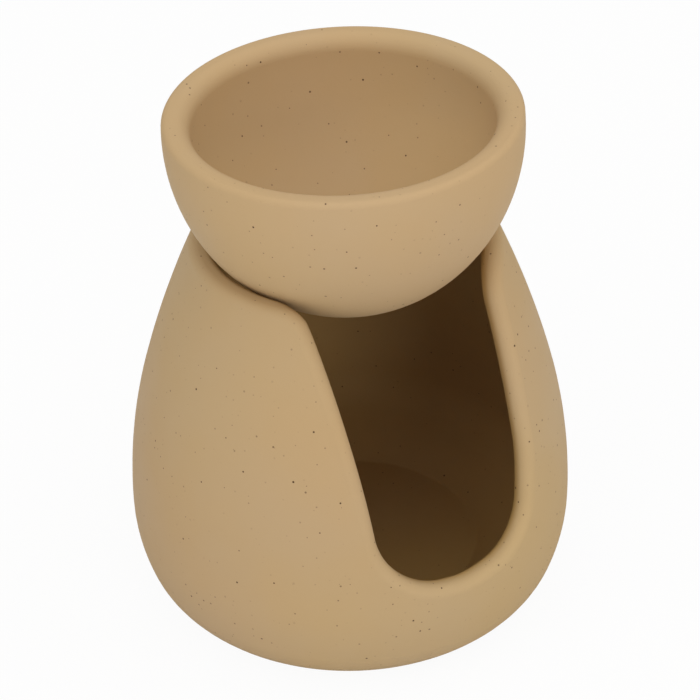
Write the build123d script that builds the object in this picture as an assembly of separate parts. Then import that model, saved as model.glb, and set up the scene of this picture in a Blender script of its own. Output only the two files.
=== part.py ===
"""Essential oil burner in fired clay: a hollow egg-shaped base and a loose oil bowl.

Millimetres, +Z up. The origin is the centre of the underside, on the table.
The opening for the tealight faces -Y.
"""
from build123d import *
import math
import os

# Base: the outside, with the circle where it would meet the rim's level if the rim were sharp
base_diameter = 100.0
widest_height = 22.2
rim_height = 88.8
rim_edge_diameter = 66.9
shoulder_angle = 24.4
foot_diameter = 79.2
foot_rise_angle = 24.7
foot_edge_round = 1.0

# Base: the wall, the chamber, and the rounds along the rim and all round the opening
base_wall = 4.8
outer_edge_round = 2.4
inner_edge_round = 1.5
chamber_floor_height = 6.0
chamber_floor_diameter = 58.8
chamber_floor_round = 1.0
chamber_rise_angle = 40.0

# Base: the shallow recess that leaves a ring to stand on
recess_diameter = 60.0
recess_depth = 1.0
recess_round = 0.6

# Base: the heights of the opening, a little askew as it was cut by hand, with a sill that dips
# in the middle and a right side that is widest at its waist
sill_height = 26.5
sill_left_rise = 1.5
sill_right_rise = 2.9
opening_waist_height = 47.5
opening_waist_round = 59.0

# Base: the opening's places to the left and right, and its corners' rounds, as shares of the
# mouth's radius, so that it always ends within the mouth
sill_middle_share = 0.039
sill_round_share = 0.78
opening_left_at_sill_share = 0.614
opening_left_at_rim_share = 0.791
opening_right_at_sill_share = 0.575
opening_right_at_waist_share = 0.671
opening_right_at_rim_share = 0.642
opening_left_corner_share = 0.55
opening_right_corner_share = 0.46
opening_left_rim_corner_share = 0.16
opening_right_rim_corner_share = 0.319

# Oil bowl
bowl_diameter = 76.3
bowl_drop = 40.9
bowl_rise = 4.2
bowl_wall = 6.0
bowl_floor = 5.2
bowl_foot_diameter = 24.0
bowl_foot_round = 1.0
lip_outer_round = 1.3
lip_inner_round = 3.4

# How the bowl stands on the rim: the gap there, and how far and which way it leans
seat_clearance = 0.4
bowl_lean = 1.9
bowl_lean_direction = 188.0

# Every cut runs past what it cuts by this much
overrun = 10.0

# Where an edge is looked at: its two ends and its middle
edge_point_shares = (0.0, 0.5, 1.0)

# How closely an edge is matched, and how often the bowl's resting angle is halved
tolerance = 0.001
halvings = 50

base_radius = base_diameter / 2
rim_edge_radius = rim_edge_diameter / 2
mouth_radius = rim_edge_radius - base_wall / math.cos(math.radians(shoulder_angle))
foot_radius = foot_diameter / 2
recess_radius = recess_diameter / 2
chamber_floor_radius = chamber_floor_diameter / 2
bowl_radius = bowl_diameter / 2
bowl_foot_radius = bowl_foot_diameter / 2


def at(radius, height):
    """A point of a turned outline."""
    return Vector(radius, 0, height)


def direction(angle):
    """The direction that rises at an angle, in degrees, from the outward radius."""
    return Vector(math.cos(math.radians(angle)), 0, math.sin(math.radians(angle)))


def inward(along):
    """The direction square to a stretch of outline, towards the inside of the wall."""
    return Vector(-along.Z, 0, along.X)


def turned(edges):
    """The solid that a closed outline sweeps when it turns once about the upright axis."""
    return revolve(Face(Wire(edges)), Axis.Z)


def circles_at(solid, radius, height):
    """The round edges of a turned solid at one radius and height."""
    found = ShapeList()
    for edge in solid.edges().filter_by(GeomType.CIRCLE):
        if abs(edge.radius - radius) < tolerance and abs(edge.arc_center.Z - height) < tolerance:
            found.append(edge)
    return found


def arc_joint(start, start_along, end, end_along):
    """Where two arcs meet that lead smoothly from one point to another, and their direction there."""
    gap = end - start
    both = start_along + end_along
    slack = 2 * (1 - start_along.dot(end_along))
    reach = (math.sqrt(gap.dot(both) ** 2 + slack * gap.dot(gap)) - gap.dot(both)) / slack
    first_corner = start + start_along * reach
    second_corner = end - end_along * reach
    return (first_corner + second_corner) / 2, (second_corner - first_corner).normalized()


def arc_point(centre, radius, height):
    """The point of an arc at one height. A hollow arc has a negative radius and its centre outside."""
    reach = math.sqrt(radius ** 2 - (height - centre.Z) ** 2)
    return at(centre.X + math.copysign(reach, radius), height)


def shoulder_arc():
    """The outside's upper arc: its first point, its direction there, its centre and its radius."""
    edge = at(rim_edge_radius, rim_height)
    widest = at(base_radius, widest_height)
    start, along = arc_joint(widest, direction(90), edge, direction(90 + shoulder_angle))
    chord = edge - start
    radius = chord.dot(chord) / (2 * chord.dot(inward(along)))
    return start, along, start + inward(along) * radius, radius


def base_outside():
    """The base as a solid without its hollow, its shoulder run on past the rim."""
    up = direction(90)
    rise = direction(foot_rise_angle)
    foot = at(foot_radius, 0)
    widest = at(base_radius, widest_height)
    belly, belly_along = arc_joint(foot, rise, widest, up)
    shoulder, shoulder_along, centre, radius = shoulder_arc()
    top = arc_point(centre, radius, rim_height + overrun)
    solid = turned([
        TangentArc(foot, belly, tangent=rise),
        TangentArc(belly, widest, tangent=belly_along),
        TangentArc(widest, shoulder, tangent=up),
        TangentArc(shoulder, top, tangent=shoulder_along),
        Line(top, at(0, top.Z)),
        Line(at(0, top.Z), at(0, recess_depth)),
        Line(at(0, recess_depth), at(recess_radius, recess_depth)),
        Line(at(recess_radius, recess_depth), at(recess_radius, 0)),
        Line(at(recess_radius, 0), foot),
    ])
    solid = fillet(circles_at(solid, foot_radius, 0), foot_edge_round)
    return fillet(circles_at(solid, recess_radius, 0), recess_round)


def base_hollow():
    """The chamber and the mouth over it, one wall inside the outside and run on past the rim."""
    down = direction(-90)
    shoulder, shoulder_along, centre, radius = shoulder_arc()
    top = arc_point(centre, radius - base_wall, rim_height + overrun)
    inner_shoulder = shoulder + inward(shoulder_along) * base_wall
    inner_widest = at(base_radius - base_wall, widest_height)
    floor_edge = at(chamber_floor_radius, chamber_floor_height)
    settle = direction(180 + chamber_rise_angle)
    hollow, hollow_along = arc_joint(inner_widest, down, floor_edge, settle)
    solid = turned([
        TangentArc(inner_shoulder, top, tangent=shoulder_along),
        TangentArc(inner_shoulder, inner_widest, tangent=-shoulder_along),
        TangentArc(inner_widest, hollow, tangent=down),
        TangentArc(hollow, floor_edge, tangent=hollow_along),
        Line(floor_edge, at(0, chamber_floor_height)),
        Line(at(0, chamber_floor_height), at(0, top.Z)),
        Line(at(0, top.Z), top),
    ])
    return fillet(circles_at(solid, chamber_floor_radius, chamber_floor_height), chamber_floor_round)


def top_and_opening_cutter():
    """The tool that levels the top all round at the rim and cuts the opening out of the front."""
    far = base_radius + overrun
    over = rim_height + 2 * overrun
    corners = [
        at(-far, rim_height),
        at(-mouth_radius * opening_left_at_rim_share, rim_height),
        at(-mouth_radius * opening_left_at_sill_share, sill_height + sill_left_rise),
        at(mouth_radius * sill_middle_share, sill_height),
        at(mouth_radius * opening_right_at_sill_share, sill_height + sill_right_rise),
        at(mouth_radius * opening_right_at_waist_share, opening_waist_height),
        at(mouth_radius * opening_right_at_rim_share, rim_height),
        at(far, rim_height),
    ]
    rounds = [
        mouth_radius * opening_left_rim_corner_share,
        mouth_radius * opening_left_corner_share,
        mouth_radius * sill_round_share,
        mouth_radius * opening_right_corner_share,
        opening_waist_round,
        mouth_radius * opening_right_rim_corner_share,
    ]
    sides = FilletPolyline(*corners, radius=rounds)
    upper = Polyline(corners[-1], at(far, over), at(-far, over), corners[0])
    level = Line(corners[0], corners[-1])
    front = Face(Wire(list(sides.edges()) + list(upper.edges())))
    back = Face(Wire([level] + list(upper.edges())))
    return extrude(front, far, dir=Vector(0, -1, 0)) + extrude(back, far, dir=Vector(0, 1, 0))


def outside_edges(edges):
    """The edges that lie on the outside: both ends and the middle are farther out than the seat."""
    found = ShapeList()
    for edge in edges:
        points = [edge.position_at(share) for share in edge_point_shares]
        if min(math.hypot(point.X, point.Y) for point in points) > seat_centre().X:
            found.append(edge)
    return found


def burner_base():
    """The base, the edges of its rim and its opening rounded as if wiped with a wet sponge."""
    outside = base_outside()
    cutter = top_and_opening_cutter()
    cut = outside - cutter
    outer_edges = outside_edges(new_edges(outside, cutter, combined=cut))
    cut = fillet(outer_edges, outer_edge_round)
    hollow = base_hollow()
    hollowed = cut - hollow
    inner_edges = new_edges(cut, hollow, combined=hollowed)
    return fillet(inner_edges.filter_by(lambda edge: edge.center().Z > widest_height), inner_edge_round)


def seat_centre():
    """The middle of the round on the rim's inner edge, which carries the bowl."""
    _, _, centre, radius = shoulder_arc()
    return arc_point(centre, radius - base_wall + inner_edge_round, rim_height - inner_edge_round)


def ellipse_point(half_width, drop, angle):
    """A point of a bowl's outline, at an angle down from its widest level."""
    return at(half_width * math.cos(math.radians(angle)), -drop * math.sin(math.radians(angle)))


def ellipse_stretch(half_width, drop, upper, lower):
    """A bowl's outline between two angles down from its widest level."""
    level = EllipticalCenterArc((0, 0), half_width, drop, start_angle=-upper, arc_size=upper - lower)
    return Plane.XZ * level


def oil_bowl():
    """The bowl as it was thrown: level, with its widest level at height zero."""
    foot_angle = math.degrees(math.acos(bowl_foot_radius / bowl_radius))
    foot_level = ellipse_point(bowl_radius, bowl_drop, foot_angle).Z
    lip_angle = -math.degrees(math.asin(bowl_rise / bowl_drop))
    inner_radius = bowl_radius - bowl_wall
    inner_drop = -foot_level - bowl_floor
    inner_lip_angle = -math.degrees(math.asin(bowl_rise / inner_drop))
    outer_lip = ellipse_point(bowl_radius, bowl_drop, lip_angle)
    inner_lip = ellipse_point(inner_radius, inner_drop, inner_lip_angle)
    bowl = turned([
        ellipse_stretch(bowl_radius, bowl_drop, lip_angle, foot_angle),
        Line(at(bowl_foot_radius, foot_level), at(0, foot_level)),
        Line(at(0, foot_level), at(0, -inner_drop)),
        ellipse_stretch(inner_radius, inner_drop, inner_lip_angle, 90),
        Line(inner_lip, outer_lip),
    ])
    bowl = fillet(circles_at(bowl, outer_lip.X, bowl_rise), lip_outer_round)
    bowl = fillet(circles_at(bowl, inner_lip.X, bowl_rise), lip_inner_round)
    return fillet(circles_at(bowl, bowl_foot_radius, foot_level), bowl_foot_round)


def seat_centre_beside(angle):
    """Where the middle of the seat's round lies when it is beside the bowl at this angle."""
    touch = ellipse_point(bowl_radius, bowl_drop, angle)
    outward = Vector(touch.X / bowl_radius ** 2, 0, touch.Z / bowl_drop ** 2).normalized()
    return touch + outward * (inner_edge_round + seat_clearance)


def resting_height():
    """The height of the bowl's widest level when the rim carries it."""
    seat = seat_centre()
    above = 0.0
    below = 90.0
    for _ in range(halvings):
        middle = (above + below) / 2
        if seat_centre_beside(middle).X > seat.X:
            above = middle
        else:
            below = middle
    return seat.Z - seat_centre_beside(above).Z


def seated(bowl):
    """The bowl on the rim, leaning by a small angle towards one side, as it happens to lie."""
    leaning = bowl.rotate(Axis.Y, bowl_lean).rotate(Axis.Z, bowl_lean_direction)
    return leaning.translate(at(0, resting_height()))


def main():
    os.makedirs("parts", exist_ok=True)
    export_step(burner_base(), "parts/burner_base.step")
    export_step(seated(oil_bowl()), "parts/oil_bowl.step")
    print("bowl's widest level at", round(resting_height(), 2), "mm")


main()
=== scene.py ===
# %% [markdown]
# # An oil burner in speckled clay
#
# The real object is two loose pieces of fired clay. A thick bowl for water and
# oil lies in the round mouth of an egg-shaped base, and a tealight burns in the
# base, behind a tall opening. This lesson dresses both pieces, sets them on a
# pale floor and looks at them from a little above.
#
# The sizes and the places are already settled. They come in with the frame,
# where one unit is one metre and up is +Z, and nothing here changes them.

# %% Bring in the frame
import math

import bpy
from mathutils import Matrix, Vector


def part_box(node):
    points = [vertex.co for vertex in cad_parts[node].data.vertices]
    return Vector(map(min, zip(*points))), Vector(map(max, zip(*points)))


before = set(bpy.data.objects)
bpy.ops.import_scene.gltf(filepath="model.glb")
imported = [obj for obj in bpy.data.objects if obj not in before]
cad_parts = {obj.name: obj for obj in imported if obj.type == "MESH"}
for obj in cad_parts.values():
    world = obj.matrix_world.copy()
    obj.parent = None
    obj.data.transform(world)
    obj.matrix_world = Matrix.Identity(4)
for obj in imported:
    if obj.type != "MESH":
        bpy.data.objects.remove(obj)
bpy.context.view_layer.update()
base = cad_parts["burner_base"]
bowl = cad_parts["oil_bowl"]
for name in ("burner_base", "oil_bowl"):
    low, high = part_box(name)
    size = [round((b - a) * 1000, 1) for a, b in zip(low, high)]
    print(f"{name} measures {size} mm")
scene = bpy.context.scene

# %% [markdown]
# ## The camera
#
# The burner is seen from a little above, with its opening turned to the right.
# A long lens from half a metre away keeps both ellipses, of the bowl's rim and
# of the foot, nearly parallel. A camera could be aimed with a constraint, but a
# matrix made from three directions says the small tilt of the picture too.

# %% Place the camera
MILLIMETRE = 0.001
VIEW_TURN = math.radians(-30.0)
VIEW_HEIGHT = math.radians(33.901)
VIEW_ROLL = math.radians(1.095)
VIEW_DISTANCE = 530.0 * MILLIMETRE
VIEW_ASIDE = 0.502 * MILLIMETRE
VIEW_LEVEL = 58.621 * MILLIMETRE
SENSOR_WIDTH = 36.0
LENS = 122.44

turn = Matrix.Rotation(VIEW_TURN, 3, "Z")
ahead = turn @ Vector((0, math.cos(VIEW_HEIGHT), -math.sin(VIEW_HEIGHT)))
above = turn @ Vector((0, math.sin(VIEW_HEIGHT), math.cos(VIEW_HEIGHT)))
beside = turn @ Vector((1, 0, 0))
target = turn @ Vector((VIEW_ASIDE, 0, VIEW_LEVEL))
picture_right = math.cos(VIEW_ROLL) * beside - math.sin(VIEW_ROLL) * above
picture_up = math.sin(VIEW_ROLL) * beside + math.cos(VIEW_ROLL) * above

lens_data = bpy.data.cameras.new("camera")
lens_data.sensor_fit = "HORIZONTAL"
lens_data.sensor_width = SENSOR_WIDTH
lens_data.lens = LENS
camera = bpy.data.objects.new("camera", lens_data)
scene.collection.objects.link(camera)
axes = Matrix((picture_right, picture_up, -ahead)).transposed()
camera.matrix_world = Matrix.Translation(target - VIEW_DISTANCE * ahead) @ axes.to_4x4()
scene.camera = camera
print("camera at", [round(v, 4) for v in camera.matrix_world.translation])

# %% [markdown]
# ## The light
#
# Fired clay without a glossy glaze shows its form by soft shading alone, so the
# light is that of a white tent, and a little more of it comes from above. The
# world gives the tent: it is brightest overhead and dimmer level with the
# table, which leaves the chamber dark, and its front is brighter than its back.
# The world could be one even colour, but then the chamber would look shallow.

# %% Hang the white tent
TENT_TOP = 0.90
TENT_SIDE = 0.36
TENT_BRIGHT_SIDE = (0.26, -0.97, 0.0)
TENT_DIMMEST = 0.75
TENT_BRIGHTEST = 1.25
TENT_COLOUR = (1.0, 0.99, 0.965, 1)
SEEN_WHITE = (1, 1, 1, 1)

scene.view_settings.view_transform = "Standard"
world = bpy.data.worlds.new("tent")
scene.world = world
world.use_nodes = True
tent = world.node_tree.nodes
tent_links = world.node_tree.links
tent.clear()
toward = tent.new("ShaderNodeTexCoord")
parts_of = tent.new("ShaderNodeSeparateXYZ")
height_light = tent.new("ShaderNodeMapRange")
height_light.interpolation_type = "SMOOTHSTEP"
height_light.inputs["To Min"].default_value = TENT_SIDE
height_light.inputs["To Max"].default_value = TENT_TOP
tent_links.new(toward.outputs["Generated"], parts_of.inputs["Vector"])
tent_links.new(parts_of.outputs["Z"], height_light.inputs["Value"])
felt = tent.new("ShaderNodeBackground")
felt.inputs["Color"].default_value = TENT_COLOUR
facing = tent.new("ShaderNodeVectorMath")
facing.operation = "DOT_PRODUCT"
facing.inputs[1].default_value = TENT_BRIGHT_SIDE
side_light = tent.new("ShaderNodeMapRange")
side_light.inputs["From Min"].default_value = -1
side_light.inputs["To Min"].default_value = TENT_DIMMEST
side_light.inputs["To Max"].default_value = TENT_BRIGHTEST
both_lights = tent.new("ShaderNodeMath")
both_lights.operation = "MULTIPLY"
tent_links.new(toward.outputs["Generated"], facing.inputs[0])
tent_links.new(facing.outputs["Value"], side_light.inputs["Value"])
tent_links.new(height_light.outputs["Result"], both_lights.inputs[0])
tent_links.new(side_light.outputs["Result"], both_lights.inputs[1])
tent_links.new(both_lights.outputs["Value"], felt.inputs["Strength"])
seen = tent.new("ShaderNodeBackground")
seen.inputs["Color"].default_value = SEEN_WHITE
seen.inputs["Strength"].default_value = 1.0
ray = tent.new("ShaderNodeLightPath")
shown = tent.new("ShaderNodeMixShader")
sky = tent.new("ShaderNodeOutputWorld")
tent_links.new(ray.outputs["Is Camera Ray"], shown.inputs["Fac"])
tent_links.new(felt.outputs["Background"], shown.inputs[1])
tent_links.new(seen.outputs["Background"], shown.inputs[2])
tent_links.new(shown.outputs["Shader"], sky.inputs["Surface"])
print("tent:", len(tent), "nodes")

# %% [markdown]
# ## The lamps
#
# Wide lamps above and at both sides soften the light of the tent, and a smaller low
# one looks in through the opening, so that the back of the chamber is lighter than
# its side. All four could be points, but the shadows would have hard edges.

# %% Place the lamps
LAMP_LIGHTS = (
    # name, place in metres, side in metres, power in watts
    ("lamp_above", (0.05, -0.10, 1.10), 1.1, 1.2),
    ("lamp_left", (-0.95, -0.25, 0.80), 0.9, 3.0),
    ("lamp_right", (0.85, -0.40, 0.90), 0.9, 1.3),
    ("lamp_front", (-0.12, -1.05, 0.20), 0.35, 1.7),
)

for name, place, side, power in LAMP_LIGHTS:
    lamp_data = bpy.data.lights.new(name, "AREA")
    lamp_data.size = side
    lamp_data.energy = power
    lamp = bpy.data.objects.new(name, lamp_data)
    scene.collection.objects.link(lamp)
    aim = (target - Vector(place)).to_track_quat("-Z", "Y").to_matrix().to_4x4()
    lamp.matrix_world = Matrix.Translation(place) @ aim
print("lamps:", [row[0] for row in LAMP_LIGHTS])

# %% [markdown]
# ## The floor
#
# A pale sheet under the foot throws light back at the lower half of the base
# and takes its soft shadow. It is wide enough to fill the picture. To the camera
# it is partly a plain white, so that its far end doesn't turn grey.

# %% Lay the floor
FLOOR_SIDE = 6.0
FLOOR_COLOUR = (0.82, 0.82, 0.82, 1)
FLOOR_LIFT = 0.94
FLOOR_ROUGHNESS = 0.9

bpy.ops.mesh.primitive_plane_add(size=FLOOR_SIDE)
floor = bpy.context.object
floor.name = "floor"
paper = bpy.data.materials.new("floor_paper")
paper.use_nodes = True
nodes, links = paper.node_tree.nodes, paper.node_tree.links
sheet = nodes["Principled BSDF"]
sheet.inputs["Base Color"].default_value = FLOOR_COLOUR
sheet.inputs["Roughness"].default_value = FLOOR_ROUGHNESS
sheet.inputs["Specular IOR Level"].default_value = 0.0
white = nodes.new("ShaderNodeEmission")
white.inputs["Strength"].default_value = 1.0
path = nodes.new("ShaderNodeLightPath")
share = nodes.new("ShaderNodeMath")
share.operation = "MULTIPLY"
share.inputs[1].default_value = FLOOR_LIFT
mixed = nodes.new("ShaderNodeMixShader")
links.new(path.outputs["Is Camera Ray"], share.inputs[0])
links.new(share.outputs["Value"], mixed.inputs["Fac"])
links.new(sheet.outputs["BSDF"], mixed.inputs[1])
links.new(white.outputs["Emission"], mixed.inputs[2])
links.new(mixed.outputs["Shader"], nodes["Material Output"].inputs["Surface"])
floor.data.materials.append(paper)
print("floor", FLOOR_SIDE, "m wide")

# %% [markdown]
# ## The speckle
#
# The clay holds fine iron grains that melt in the kiln and bleed through the
# matt skin as brown dots, from crisp and nearly black to so deep that they are
# only a shade. A cell pattern through the whole body puts one grain in each
# cell. The skin cuts through some of them, as it does in real clay, so the dots
# run on without a seam inside and outside. A picture would need the two pieces
# unwrapped, and its dots would stretch towards the foot.
#
# Both clays use it, so it is a node group with named inputs, one of which is the
# share of the cells that hold a grain at all. It gives only a mask: how strongly
# a grain shows at each point.

# %% Shorten the work with nodes
def group_of(name, inputs, outputs):
    """A new shader node group with named sockets: its tree and its two end nodes."""
    tree = bpy.data.node_groups.new(name, "ShaderNodeTree")
    for socket, kind, value in inputs:
        made = tree.interface.new_socket(socket, in_out="INPUT", socket_type=kind)
        if value is not None:
            made.default_value = value
    for socket, kind in outputs:
        tree.interface.new_socket(socket, in_out="OUTPUT", socket_type=kind)
    return tree, tree.nodes.new("NodeGroupInput"), tree.nodes.new("NodeGroupOutput")


def feed(tree, socket, value):
    """Give a socket a number, or join it to another node's output."""
    if isinstance(value, (int, float)):
        socket.default_value = value
    else:
        tree.links.new(value, socket)


def worked_out(tree, operation, first, second=0.0):
    """The result of one sum between two numbers or outputs."""
    node = tree.nodes.new("ShaderNodeMath")
    node.operation = operation
    feed(tree, node.inputs[0], first)
    feed(tree, node.inputs[1], second)
    return node.outputs["Value"]


def ramped(tree, value, start, end, start_value, end_value):
    """A value taken smoothly from one range to another."""
    node = tree.nodes.new("ShaderNodeMapRange")
    node.interpolation_type = "SMOOTHSTEP"
    feed(tree, node.inputs["Value"], value)
    feed(tree, node.inputs["From Min"], start)
    feed(tree, node.inputs["From Max"], end)
    feed(tree, node.inputs["To Min"], start_value)
    feed(tree, node.inputs["To Max"], end_value)
    return node.outputs["Result"]


print("helpers:", [helper.__name__ for helper in (group_of, feed, worked_out, ramped)])

# %% Draw the speckle
DARK_GRAINS_POWER = 1.6

speckle, given, result = group_of(
    "speckle",
    [
        ("Place", "NodeSocketVector", None),
        ("Grains per Metre", "NodeSocketFloat", 408.0),
        ("Smallest", "NodeSocketFloat", 0.05),
        ("Largest", "NodeSocketFloat", 0.12),
        ("Softness", "NodeSocketFloat", 0.35),
        ("Faintest", "NodeSocketFloat", 0.12),
        ("Share of Cells", "NodeSocketFloat", 1.0),
    ],
    [("Mask", "NodeSocketFloat")],
)
cells = speckle.nodes.new("ShaderNodeTexVoronoi")
speckle.links.new(given.outputs["Place"], cells.inputs["Vector"])
speckle.links.new(given.outputs["Grains per Metre"], cells.inputs["Scale"])
chance = speckle.nodes.new("ShaderNodeSeparateColor")
speckle.links.new(cells.outputs["Color"], chance.inputs["Color"])
spread = worked_out(speckle, "SUBTRACT", given.outputs["Largest"], given.outputs["Smallest"])
grain_size = worked_out(speckle, "MULTIPLY", chance.outputs["Red"], spread)
grain_size = worked_out(speckle, "ADD", grain_size, given.outputs["Smallest"])
crispness = worked_out(speckle, "SUBTRACT", 1.0, given.outputs["Softness"])
core = worked_out(speckle, "MULTIPLY", grain_size, crispness)
dot = ramped(speckle, cells.outputs["Distance"], core, grain_size, 1.0, 0.0)
dark = worked_out(speckle, "POWER", chance.outputs["Green"], DARK_GRAINS_POWER)
depth = ramped(speckle, dark, 0.0, 1.0, given.outputs["Faintest"], 1.0)
filled = worked_out(speckle, "LESS_THAN", chance.outputs["Blue"], given.outputs["Share of Cells"])
shown_depth = worked_out(speckle, "MULTIPLY", depth, filled)
speckle.links.new(worked_out(speckle, "MULTIPLY", dot, shown_depth), result.inputs["Mask"])
print("speckle:", len(speckle.nodes), "nodes")

# %% [markdown]
# ## The clay
#
# A second group turns the speckle into a clay: its colour with a slow mottle, a
# roughness that wanders a little, and a height for the fine tooth of the skin
# and the shallow pit over each grain. The materials themselves hold the shader,
# so that each piece can be more or less polished.

# %% Mix the plain clay
MOTTLE_PER_METRE = 28.0
MOTTLE_DETAIL = 3.0
BLUSH_PER_METRE = 11.0
BLUSH_DETAIL = 1.0
CLOUD_LOW = 0.3
CLOUD_HIGH = 0.7
HUES = (0.497, 0.503)
SATURATIONS = (0.98, 1.03)


def noise_of(tree, place, scale, detail):
    """A cloudy value from 0 to 1."""
    node = tree.nodes.new("ShaderNodeTexNoise")
    node.inputs["Scale"].default_value = scale
    node.inputs["Detail"].default_value = detail
    tree.links.new(place, node.inputs["Vector"])
    return node.outputs["Fac"]


clay_mix, given, result = group_of(
    "clay_mix",
    [
        ("Place", "NodeSocketVector", None),
        ("Clay", "NodeSocketColor", (0.53, 0.37, 0.19, 1)),
        ("Grain", "NodeSocketColor", (0.075, 0.035, 0.012, 1)),
        ("Grains", "NodeSocketFloat", 1.0),
        ("Mottle", "NodeSocketFloat", 0.05),
        ("Smoothest", "NodeSocketFloat", 0.58),
        ("Roughest", "NodeSocketFloat", 0.74),
    ],
    [
        ("Colour", "NodeSocketColor"),
        ("Roughness", "NodeSocketFloat"),
        ("Height", "NodeSocketFloat"),
    ],
)
place = given.outputs["Place"]
mottle = noise_of(clay_mix, place, MOTTLE_PER_METRE, MOTTLE_DETAIL)
swing = worked_out(clay_mix, "SUBTRACT", mottle, 0.5)
swing = worked_out(clay_mix, "MULTIPLY", swing, given.outputs["Mottle"])
brightness = worked_out(clay_mix, "ADD", swing, 1.0)
blush = noise_of(clay_mix, place, BLUSH_PER_METRE, BLUSH_DETAIL)
tint = clay_mix.nodes.new("ShaderNodeHueSaturation")
hue = ramped(clay_mix, blush, CLOUD_LOW, CLOUD_HIGH, *HUES)
saturation = ramped(clay_mix, mottle, CLOUD_LOW, CLOUD_HIGH, *SATURATIONS)
feed(clay_mix, tint.inputs["Hue"], hue)
feed(clay_mix, tint.inputs["Saturation"], saturation)
feed(clay_mix, tint.inputs["Value"], brightness)
clay_mix.links.new(given.outputs["Clay"], tint.inputs["Color"])
print("plain clay:", len(clay_mix.nodes), "nodes")

# %% Put the grains in the clay
GRAIN_LAYERS = (
    # grains per metre, least and greatest radius as shares of a cell, soft edge, faintest grain
    (560.0, 0.070, 0.165, 0.35, 0.10),
    (260.0, 0.050, 0.120, 0.95, 0.04),
)
BLEED_STRENGTH = 0.28

masks = []
for grains, smallest, largest, softness, faintest in GRAIN_LAYERS:
    layer = clay_mix.nodes.new("ShaderNodeGroup")
    layer.node_tree = speckle
    layer.inputs["Grains per Metre"].default_value = grains
    layer.inputs["Smallest"].default_value = smallest
    layer.inputs["Largest"].default_value = largest
    layer.inputs["Softness"].default_value = softness
    layer.inputs["Faintest"].default_value = faintest
    clay_mix.links.new(place, layer.inputs["Place"])
    clay_mix.links.new(given.outputs["Grains"], layer.inputs["Share of Cells"])
    masks.append(layer.outputs["Mask"])
bleed = worked_out(clay_mix, "MULTIPLY", masks[1], BLEED_STRENGTH)
grain_mask = worked_out(clay_mix, "MAXIMUM", masks[0], bleed)
spotted = clay_mix.nodes.new("ShaderNodeMix")
spotted.data_type = "RGBA"
clay_mix.links.new(grain_mask, spotted.inputs["Factor"])
clay_mix.links.new(tint.outputs["Color"], spotted.inputs["A"])
clay_mix.links.new(given.outputs["Grain"], spotted.inputs["B"])
clay_mix.links.new(spotted.outputs["Result"], result.inputs["Colour"])
print("grains in", len(masks), "layers")

# %% Give the skin its tooth
TOOTH_PER_METRE = 2600.0
TOOTH_DETAIL = 2.0
PIT_DEPTH = -0.6

tooth = noise_of(clay_mix, place, TOOTH_PER_METRE, TOOTH_DETAIL)
smoothest, roughest = given.outputs["Smoothest"], given.outputs["Roughest"]
rough = ramped(clay_mix, mottle, CLOUD_LOW, CLOUD_HIGH, smoothest, roughest)
clay_mix.links.new(rough, result.inputs["Roughness"])
pit = worked_out(clay_mix, "MULTIPLY", masks[0], PIT_DEPTH)
clay_mix.links.new(worked_out(clay_mix, "ADD", tooth, pit), result.inputs["Height"])
print("clay mix:", len(clay_mix.nodes), "nodes")

# %% [markdown]
# ## The two clays
#
# The bowl was fired a shade lighter than the base, and fewer grains show in it, so
# each piece gets its own material with its own values. One material could serve
# both, but then they would look like a single casting.

# %% Make a clay for each piece
BASE_CLAY = (0.508, 0.353, 0.185, 1)
BOWL_CLAY = (0.537, 0.376, 0.200, 1)
BASE_GRAINS = 1.0
BOWL_GRAINS = 0.58
CLAY_SPECULAR = 0.25
TOOTH_DEPTH = 0.02 * MILLIMETRE


def clay_material(name, colour, grains):
    """A matt speckled clay: its material, its tree, its shader and its mixed clay."""
    made = bpy.data.materials.new(name)
    made.use_nodes = True
    tree = made.node_tree
    skin = tree.nodes["Principled BSDF"]
    skin.inputs["Specular IOR Level"].default_value = CLAY_SPECULAR
    where = tree.nodes.new("ShaderNodeTexCoord")
    mix = tree.nodes.new("ShaderNodeGroup")
    mix.node_tree = clay_mix
    mix.inputs["Clay"].default_value = colour
    mix.inputs["Grains"].default_value = grains
    tree.links.new(where.outputs["Object"], mix.inputs["Place"])
    tree.links.new(mix.outputs["Colour"], skin.inputs["Base Color"])
    tree.links.new(mix.outputs["Roughness"], skin.inputs["Roughness"])
    bump = tree.nodes.new("ShaderNodeBump")
    bump.inputs["Strength"].default_value = 1.0
    bump.inputs["Distance"].default_value = TOOTH_DEPTH
    tree.links.new(mix.outputs["Height"], bump.inputs["Height"])
    tree.links.new(bump.outputs["Normal"], skin.inputs["Normal"])
    return made, tree, mix, where


base_clay, base_tree, base_mix, base_place = clay_material("base_clay", BASE_CLAY, BASE_GRAINS)
bowl_clay = clay_material("bowl_clay", BOWL_CLAY, BOWL_GRAINS)[0]
print("clays:", base_clay.name, "and", bowl_clay.name)

# %% [markdown]
# ## The painted shade in the chamber
#
# Deep in the chamber the clay is painted darker as shade, and fewer grains show in
# it. A formula for the middle of the wall, which comes in towards the axis above
# and below its widest level, tells the inside of the base from its outside. The
# chamber could have its own material on its own faces, but the painted shade would
# then end in a hard line, and on a real burner the shade fades over the rounded lip.

# %% Find the inside of the base
HALF_WALL = 2.4 * MILLIMETRE
WIDEST_LEVEL = 22.2 * MILLIMETRE
MIDDLE_AT_RIM = 30.8 * MILLIMETRE
SHOULDER_POWER = 1.85
FLOOR_LEVEL = 6.0 * MILLIMETRE
MIDDLE_AT_FLOOR = 37.9 * MILLIMETRE
BELLY_POWER = 2.0
# Where the chamber's painted shade starts and where it is full, and the levels over the foot
# where it begins.
SHADE_STARTS = -0.4 * MILLIMETRE
SHADE_FULL = 1.6 * MILLIMETRE
SHADE_LOWEST = 3.5 * MILLIMETRE
SHADE_ABOVE = 4.5 * MILLIMETRE


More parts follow.
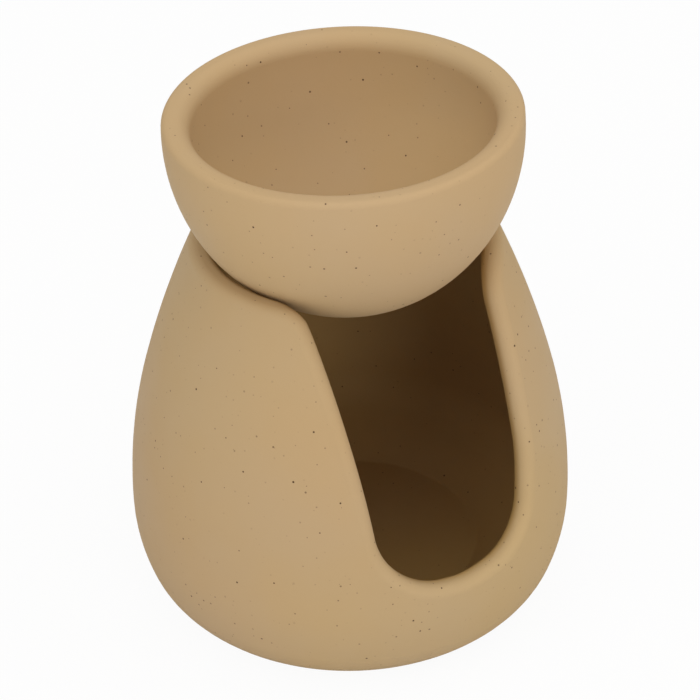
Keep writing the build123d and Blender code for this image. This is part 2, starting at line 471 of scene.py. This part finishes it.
def narrowing(tree, run, whole_run, whole_drop, power):
    """How far the wall's middle has come in towards the axis after a run up or down."""
    run_so_far = worked_out(tree, "MAXIMUM", run, 0.0)
    share = worked_out(tree, "DIVIDE", run_so_far, whole_run)
    return worked_out(tree, "MULTIPLY", worked_out(tree, "POWER", share, power), whole_drop)


widest_radius, _, rim_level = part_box("burner_base")[1]
widest_middle = widest_radius - HALF_WALL
apart = base_tree.nodes.new("ShaderNodeSeparateXYZ")
base_tree.links.new(base_place.outputs["Object"], apart.inputs["Vector"])
above_widest = worked_out(base_tree, "SUBTRACT", apart.outputs["Z"], WIDEST_LEVEL)
below_widest = worked_out(base_tree, "SUBTRACT", WIDEST_LEVEL, apart.outputs["Z"])
shoulder_run = rim_level - WIDEST_LEVEL
shoulder_drop = widest_middle - MIDDLE_AT_RIM
shoulder = narrowing(base_tree, above_widest, shoulder_run, shoulder_drop, SHOULDER_POWER)
belly_run = WIDEST_LEVEL - FLOOR_LEVEL
belly_drop = widest_middle - MIDDLE_AT_FLOOR
belly = narrowing(base_tree, below_widest, belly_run, belly_drop, BELLY_POWER)
both_narrowings = worked_out(base_tree, "ADD", shoulder, belly)
middle = worked_out(base_tree, "SUBTRACT", widest_middle, both_narrowings)
aside_squared = worked_out(base_tree, "MULTIPLY", apart.outputs["X"], apart.outputs["X"])
ahead_squared = worked_out(base_tree, "MULTIPLY", apart.outputs["Y"], apart.outputs["Y"])
both_squared = worked_out(base_tree, "ADD", aside_squared, ahead_squared)
from_axis = worked_out(base_tree, "SQRT", both_squared)
within = worked_out(base_tree, "SUBTRACT", middle, from_axis)
inside = ramped(base_tree, within, SHADE_STARTS, SHADE_FULL, 0.0, 1.0)
over_foot = ramped(base_tree, apart.outputs["Z"], SHADE_LOWEST, SHADE_ABOVE, 0.0, 1.0)
# This mask says where the base's clay is darkened as painted shade of the chamber.
painted_shade = worked_out(base_tree, "MULTIPLY", inside, over_foot)
print("wall's middle at its widest:", round(widest_middle / MILLIMETRE, 1), "mm from the axis")

# %% Paint the shade into the chamber
# A darker clay painted into the chamber as its shade, in which fewer grains show.
PAINTED_SHADE_CLAY = (0.405, 0.249, 0.096, 1)
PAINTED_SHADE_GRAINS = 0.35

chosen = base_tree.nodes.new("ShaderNodeMix")
chosen.data_type = "RGBA"
chosen.inputs["A"].default_value = BASE_CLAY
chosen.inputs["B"].default_value = PAINTED_SHADE_CLAY
base_tree.links.new(painted_shade, chosen.inputs["Factor"])
base_tree.links.new(chosen.outputs["Result"], base_mix.inputs["Clay"])
seen_grains = ramped(base_tree, painted_shade, 0.0, 1.0, BASE_GRAINS, PAINTED_SHADE_GRAINS)
base_tree.links.new(seen_grains, base_mix.inputs["Grains"])
print("base clay:", len(base_tree.nodes), "nodes")

# %% [markdown]
# ## The two pieces
#
# Both pieces keep their own forms, and only their faces change: each wears its
# clay in every slot. They could be copied and modelled again here, but nothing
# on the real burner is finer than their forms, apart from the grain and the tooth.

# %% Dress the pieces
for piece, clay in ((base, base_clay), (bowl, bowl_clay)):
    for spot in piece.material_slots:
        spot.material = clay
    print(piece.name, "wears", clay.name)
